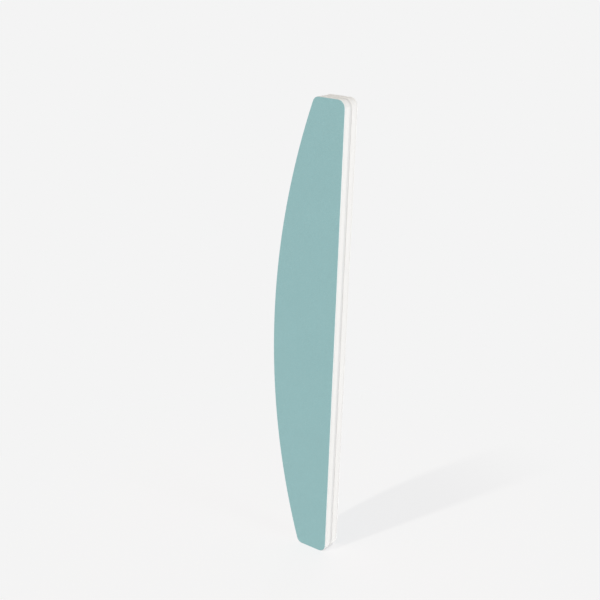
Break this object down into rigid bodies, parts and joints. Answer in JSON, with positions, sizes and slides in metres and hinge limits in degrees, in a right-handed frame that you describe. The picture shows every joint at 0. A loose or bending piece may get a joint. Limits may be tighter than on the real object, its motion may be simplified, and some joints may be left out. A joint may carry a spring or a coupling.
{
  "type": "nail buffer",
  "caption": "Half-moon nail buffer: foam pads on a stiff core board, faced on both sides with turquoise abrasive sheet, with truncated rounded ends.",
  "frame": {"origin": "middle of the bounding box's base, on the surface that the buffer stands on with one short end", "axes": "+Z along the length, upwards; the front face looks along -Y; the straight long edge lies at +X and the curved edge at -X"},
  "size_m": [0.028, 0.008, 0.178],
  "materials": {
    "abrasive": "fine mineral grit, matt, turquoise",
    "foam": "white closed-cell foam, matt",
    "core": "light grey plastic board, satin",
    "adhesive": "milky glue film"
  },
  "bodies": {
    "root": {"front_abrasive_sheet": "abrasive", "front_sheet_adhesive": "adhesive", "front_foam_pad": "foam", "front_core_adhesive": "adhesive", "core_board": "core", "rear_core_adhesive": "adhesive", "rear_foam_pad": "foam", "rear_sheet_adhesive": "adhesive", "rear_abrasive_sheet": "abrasive"}
  },
  "joints": []
}
